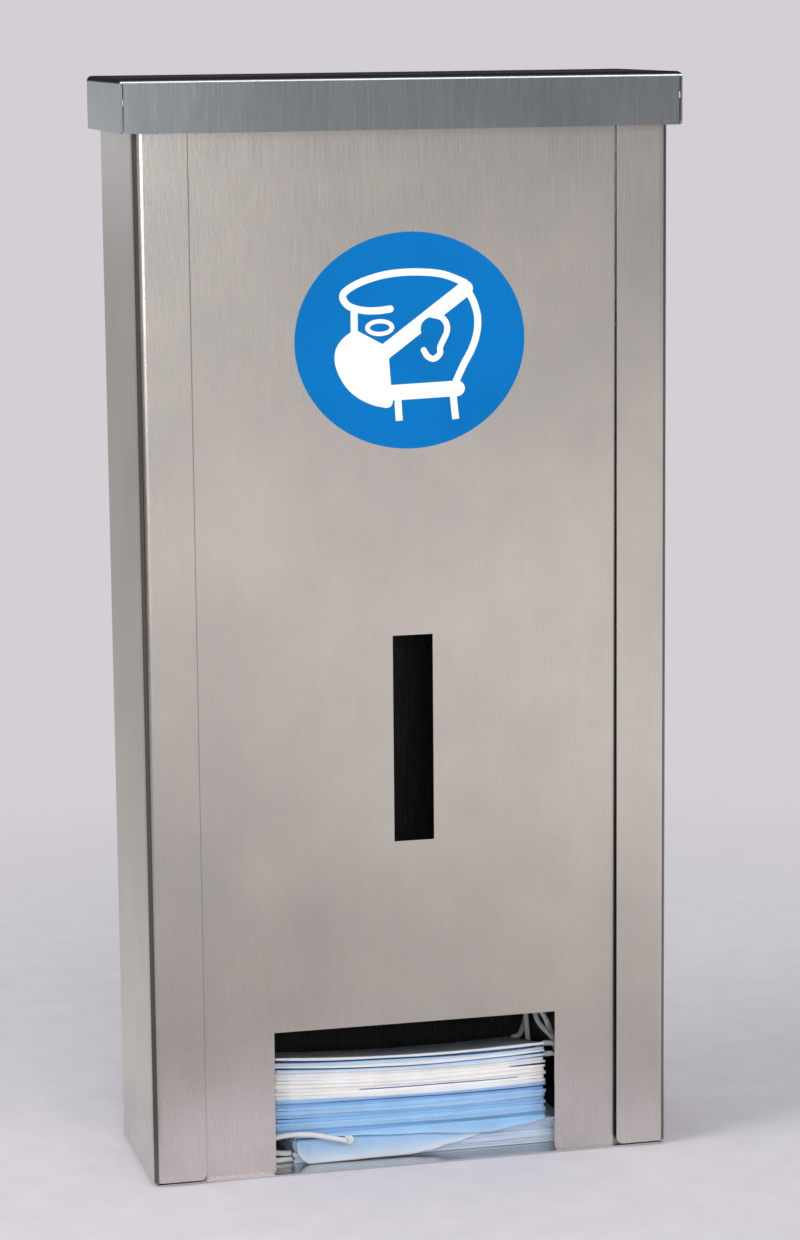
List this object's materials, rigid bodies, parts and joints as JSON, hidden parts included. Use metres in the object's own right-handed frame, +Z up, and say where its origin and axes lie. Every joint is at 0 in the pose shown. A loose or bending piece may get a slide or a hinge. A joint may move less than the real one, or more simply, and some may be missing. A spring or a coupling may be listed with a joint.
{
  "type": "face mask dispenser",
  "caption": "Tall folded stainless steel dispenser with a hinged lid, a front panel with a sight slot, a round blue sign and an open notch over a stack of pleated face masks.",
  "frame": {"origin": "middle of the footprint on the ground", "axes": "+X to the right seen from the front, +Y to the back (towards the wall), +Z up"},
  "size_m": [0.3434, 0.124, 0.6745],
  "materials": {
    "stainless_sheet": "fine vertical brushed grain",
    "sign_vinyl": "smooth printed vinyl",
    "mask_fabric": "non-woven, pleated, with welded edges",
    "ear_loop_elastic": "soft knitted elastic"
  },
  "bodies": {
    "cabinet": {"cabinet_shell": "stainless_sheet", "front_panel": "stainless_sheet", "base_tray": "stainless_sheet", "left_panel_guide": "stainless_sheet", "right_panel_guide": "stainless_sheet", "left_stack_guide": "stainless_sheet", "right_stack_guide": "stainless_sheet", "hinge_body_leaf": "stainless_sheet", "hinge_pin": "stainless_sheet", "sign_disc": "sign_vinyl", "mask_01": "mask_fabric", "mask_02": "mask_fabric", "mask_03": "mask_fabric", "mask_04": "mask_fabric", "mask_05": "mask_fabric", "mask_06": "mask_fabric", "mask_07": "mask_fabric", "mask_08": "mask_fabric", "mask_09": "mask_fabric", "mask_10": "mask_fabric", "mask_11": "mask_fabric", "mask_12": "mask_fabric", "mask_13": "mask_fabric", "mask_14": "mask_fabric", "mask_15": "mask_fabric", "mask_16": "mask_fabric", "mask_17": "mask_fabric", "mask_18": "mask_fabric", "mask_19": "mask_fabric", "mask_20": "mask_fabric", "mask_21": "mask_fabric", "mask_22": "mask_fabric", "mask_23": "mask_fabric", "mask_24": "mask_fabric", "mask_25": "mask_fabric", "mask_26": "mask_fabric", "mask_27": "mask_fabric", "mask_28": "mask_fabric", "ear_loop_left": "ear_loop_elastic", "ear_loop_floor": "ear_loop_elastic", "ear_loop_upper": "ear_loop_elastic", "ear_loop_lower": "ear_loop_elastic"},
    "lid": {"lid": "stainless_sheet", "hinge_lid_leaf": "stainless_sheet"}
  },
  "joints": [
    {"name": "lid_hinge", "type": "hinge", "parent": "cabinet", "child": "lid", "pos_m": [0, 0.0595, 0.6708], "axis": [-1, 0, 0], "range_deg": [0, 100]}
  ]
}
